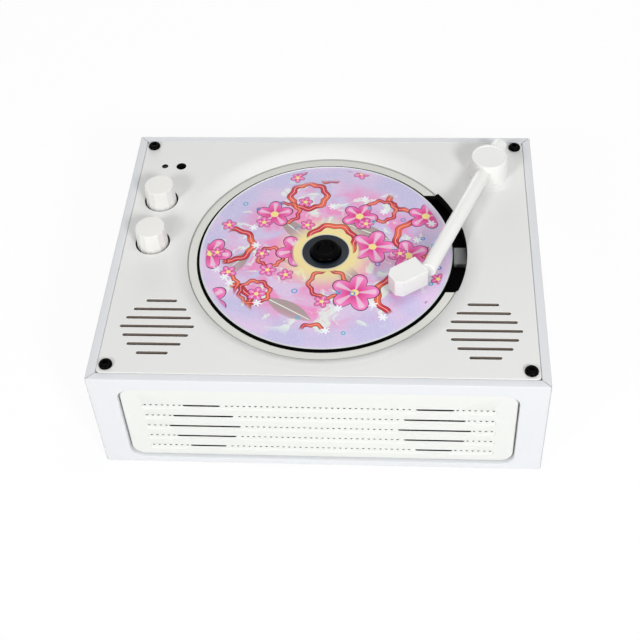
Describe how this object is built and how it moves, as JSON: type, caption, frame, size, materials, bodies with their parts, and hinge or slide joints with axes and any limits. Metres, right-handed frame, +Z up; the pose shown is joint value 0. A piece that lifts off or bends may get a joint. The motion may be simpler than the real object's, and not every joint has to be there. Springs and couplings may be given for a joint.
{
  "type": "portable cd player",
  "caption": "Box-shaped tabletop disc player with a round well, a swinging tonearm, round knobs and slotted loudspeaker openings in its top and front.",
  "frame": {"origin": "middle of the footprint, on the surface that the rubber feet stand on", "axes": "+X to the right as the front grille is faced, +Y to the back, +Z up"},
  "size_m": [0.2, 0.16, 0.074],
  "materials": {
    "deck_white": "fine satin white",
    "wall_white": "fine satin white, faintly cool",
    "grille_white": "fine satin white, faintly warm",
    "arm_white": "smooth semi-gloss white",
    "black_plastic": "black, lightly textured",
    "gloss_black": "glossy black",
    "black_steel": "blackened steel",
    "rubber": "matte black",
    "grey_plastic": "grey, moulded",
    "steel": "bright steel",
    "board_green": "green solder mask",
    "disc": "printed lilac pattern under a clear gloss",
    "lens_glass": "coated lens",
    "paper": "pressed black pulp",
    "ferrite": "dark grey ferrite",
    "nylon": "natural nylon",
    "cell_wrap": "blue shrink wrap"
  },
  "bodies": {
    "case": {"front_wall": "wall_white", "back_wall": "wall_white", "left_wall": "wall_white", "right_wall": "wall_white", "top_deck": "deck_white", "bottom_plate": "deck_white", "front_grille": "grille_white", "foot_front_left": "rubber", "foot_front_right": "rubber", "foot_back_left": "rubber", "foot_back_right": "rubber", "deck_screw_front_left": "black_steel", "deck_screw_front_right": "black_steel", "deck_screw_back_left": "black_steel", "deck_screw_back_right": "black_steel", "volume_pot": "grey_plastic", "mode_encoder": "grey_plastic", "control_board": "board_green", "indicator_lens": "gloss_black", "headphone_jack": "gloss_black", "tonearm_base": "arm_white", "mechanism_chassis": "black_plastic", "rail_bracket": "grey_plastic", "isolator_front_left": "rubber", "isolator_front_right": "rubber", "isolator_back_left": "rubber", "isolator_back_right": "rubber", "spindle_motor": "steel", "guide_rod_front": "steel", "guide_rod_back": "steel", "sled_motor": "steel", "gear_pin": "steel", "speaker_basket_left": "black_steel", "speaker_basket_right": "black_steel", "speaker_cone_left": "paper", "speaker_cone_right": "paper", "speaker_magnet_left": "ferrite", "speaker_magnet_right": "ferrite", "main_board": "board_green", "battery": "cell_wrap", "power_switch": "black_plastic", "charge_socket": "steel"},
    "spindle": {"turntable_hub": "gloss_black", "compact_disc": "disc"},
    "volume": {"volume_knob": "arm_white", "volume_shaft": "steel"},
    "mode_press": {"mode_plunger": "black_plastic"},
    "mode_turn": {"mode_shaft": "steel", "mode_knob": "arm_white"},
    "tonearm": {"tonearm_shaft": "steel", "tonearm_cap": "arm_white", "tonearm_tube": "arm_white", "headshell": "arm_white", "counterweight": "arm_white", "tonearm_clip": "steel"},
    "sled": {"pickup_sled": "black_plastic", "objective_lens": "lens_glass"},
    "drive_gear": {"drive_gear": "nylon"},
    "motor_pinion": {"motor_pinion": "nylon"},
    "power": {"power_slider": "gloss_black"}
  },
  "joints": [
    {"name": "spindle_spin", "type": "hinge", "parent": "case", "child": "spindle", "pos_m": [0, 0.002, 0.058], "axis": [0, 0, 1], "continuous": true},
    {"name": "volume_turn", "type": "hinge", "parent": "case", "child": "volume", "pos_m": [-0.0825, 0.0325, 0.062], "axis": [0, 0, 1], "range_deg": [-150, 150]},
    {"name": "mode_push", "type": "slide", "parent": "case", "child": "mode_press", "axis": [0, 0, -1], "range_m": [0, 0.0008], "stiffness_N_per_m": 3750},
    {"name": "mode_spin", "type": "hinge", "parent": "mode_press", "child": "mode_turn", "pos_m": [-0.0825, 0.0035, 0.062], "axis": [0, 0, 1], "continuous": true},
    {"name": "tonearm_swing", "type": "hinge", "parent": "case", "child": "tonearm", "pos_m": [0.0781, 0.0524, 0.062], "axis": [0, 0, 1], "range_deg": [-12, 26]},
    {"name": "sled_slide", "type": "slide", "parent": "case", "child": "sled", "axis": [1, 0, 0], "range_m": [0, 0.031]},
    {"name": "gear_spin", "type": "hinge", "parent": "case", "child": "drive_gear", "pos_m": [0.03, 0.0244, 0.042], "axis": [0, 0, 1], "range_deg": [-8, 453]},
    {"name": "pinion_spin", "type": "hinge", "parent": "case", "child": "motor_pinion", "pos_m": [0.0416, 0.02981, 0.039], "axis": [0, 0, 1], "range_deg": [-1359, 24]},
    {"name": "power_slide", "type": "slide", "parent": "case", "child": "power", "axis": [1, 0, 0], "range_m": [0, 0.004]}
  ],
  "couplings": [
    {"joint": "gear_spin", "follows": "sled_slide", "rad_per_m": 250},
    {"joint": "pinion_spin", "follows": "sled_slide", "rad_per_m": -750}
  ]
}
